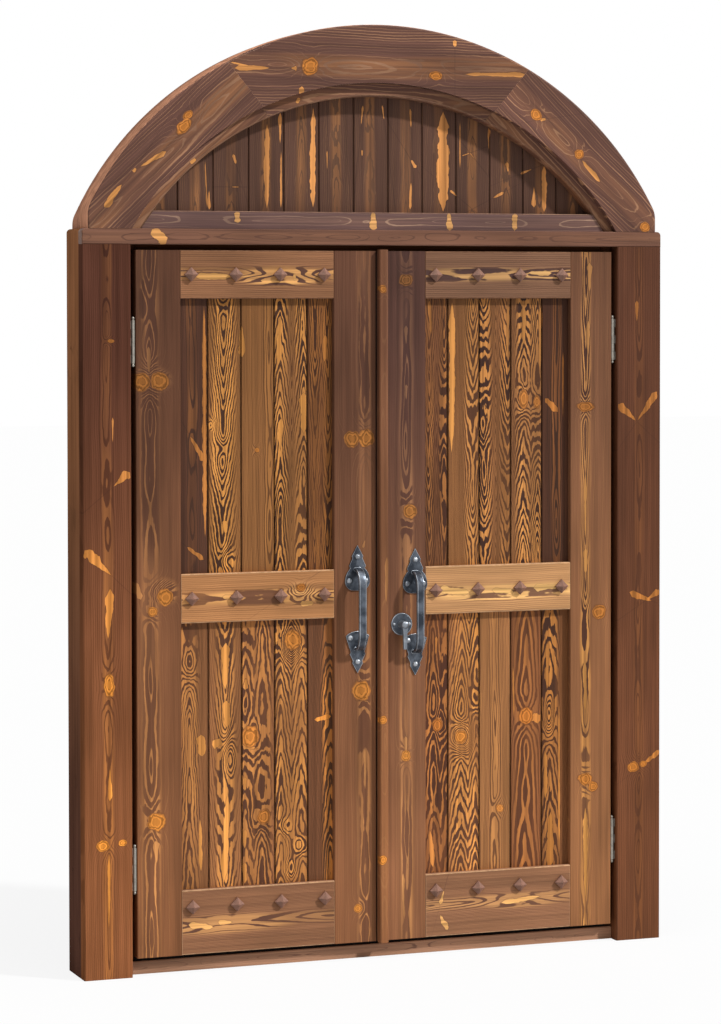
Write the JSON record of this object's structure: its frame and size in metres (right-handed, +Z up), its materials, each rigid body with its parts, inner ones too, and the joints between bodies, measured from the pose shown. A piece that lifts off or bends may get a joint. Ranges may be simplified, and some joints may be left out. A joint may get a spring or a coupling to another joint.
{
  "type": "arched wooden double door",
  "caption": "Arched wooden double door in its frame, with boarded leaves, forged pull handles, a turn latch and a boarded arch.",
  "frame": {"origin": "on the floor under the threshold, at the middle of the frame's width and depth", "axes": "+X to the right seen from the front, +Y from the front to the back, +Z up"},
  "size_m": [1.806, 0.207, 2.739],
  "materials": {
    "wood_frame": "satin",
    "wood_leaf": "satin",
    "wood_boards": "satin",
    "nail_heads": "matte",
    "forged_iron": "hammered",
    "hinge_steel": "satin",
    "latch_steel": "satin"
  },
  "bodies": {
    "frame": {"left_post": "wood_frame", "right_post": "wood_frame", "left_jamb_board": "wood_frame", "right_jamb_board": "wood_frame", "head_board": "wood_frame", "head_beam": "wood_frame", "threshold": "wood_frame", "left_stop": "wood_frame", "right_stop": "wood_frame", "head_stop": "wood_frame", "arch_front_left": "wood_frame", "arch_front_crown": "wood_frame", "arch_front_right": "wood_frame", "arch_back_left": "wood_frame", "arch_back_crown": "wood_frame", "arch_back_right": "wood_frame", "arch_bead_left": "wood_frame", "arch_bead_crown": "wood_frame", "arch_bead_right": "wood_frame", "base_rail": "wood_frame", "lunette_boards": "wood_boards", "left_hinge_frame_plates": "hinge_steel", "right_hinge_frame_plates": "hinge_steel", "left_hinge_pins": "hinge_steel", "right_hinge_pins": "hinge_steel", "left_hinge_frame_screws": "hinge_steel", "right_hinge_frame_screws": "hinge_steel"},
    "left_leaf": {"left_hinge_stile": "wood_leaf", "left_meeting_stile": "wood_leaf", "left_top_rail": "wood_leaf", "left_mid_rail": "wood_leaf", "left_bottom_rail": "wood_leaf", "left_upper_boards": "wood_boards", "left_lower_boards": "wood_boards", "left_nails": "nail_heads", "left_pull": "forged_iron", "left_pull_screws": "forged_iron", "left_hinge_leaf_plates": "hinge_steel", "left_hinge_leaf_screws": "hinge_steel", "strike_plate": "latch_steel"},
    "right_leaf": {"right_hinge_stile": "wood_leaf", "right_lock_stile": "wood_leaf", "right_top_rail": "wood_leaf", "right_mid_rail": "wood_leaf", "right_bottom_rail": "wood_leaf", "right_upper_boards": "wood_boards", "right_lower_boards": "wood_boards", "cover_strip": "wood_leaf", "right_nails": "nail_heads", "right_pull": "forged_iron", "right_pull_screws": "forged_iron", "right_hinge_leaf_plates": "hinge_steel", "right_hinge_leaf_screws": "hinge_steel", "latch_case": "latch_steel", "rose": "forged_iron", "rose_screws": "forged_iron"},
    "turn_lever": {"turn_lever": "forged_iron", "latch_cam": "latch_steel"},
    "latch_bolt": {"latch_bolt": "latch_steel"}
  },
  "joints": [
    {"name": "left_leaf_hinge", "type": "hinge", "parent": "frame", "child": "left_leaf", "pos_m": [-0.75, -0.0675, 1.063], "axis": [0, 0, -1], "range_deg": [0, 95]},
    {"name": "right_leaf_hinge", "type": "hinge", "parent": "frame", "child": "right_leaf", "pos_m": [0.75, -0.0675, 1.063], "axis": [0, 0, 1], "range_deg": [0, 95]},
    {"name": "lever_turn", "type": "hinge", "parent": "right_leaf", "child": "turn_lever", "pos_m": [0.067, -0.0735, 0.984], "axis": [0, 1, 0], "range_deg": [0, 90]},
    {"name": "bolt_slide", "type": "slide", "parent": "right_leaf", "child": "latch_bolt", "axis": [-1, 0, 0], "range_m": [0, 0.0163]}
  ],
  "couplings": [
    {"joint": "bolt_slide", "follows": "lever_turn", "m_per_rad": 0.01035}
  ]
}
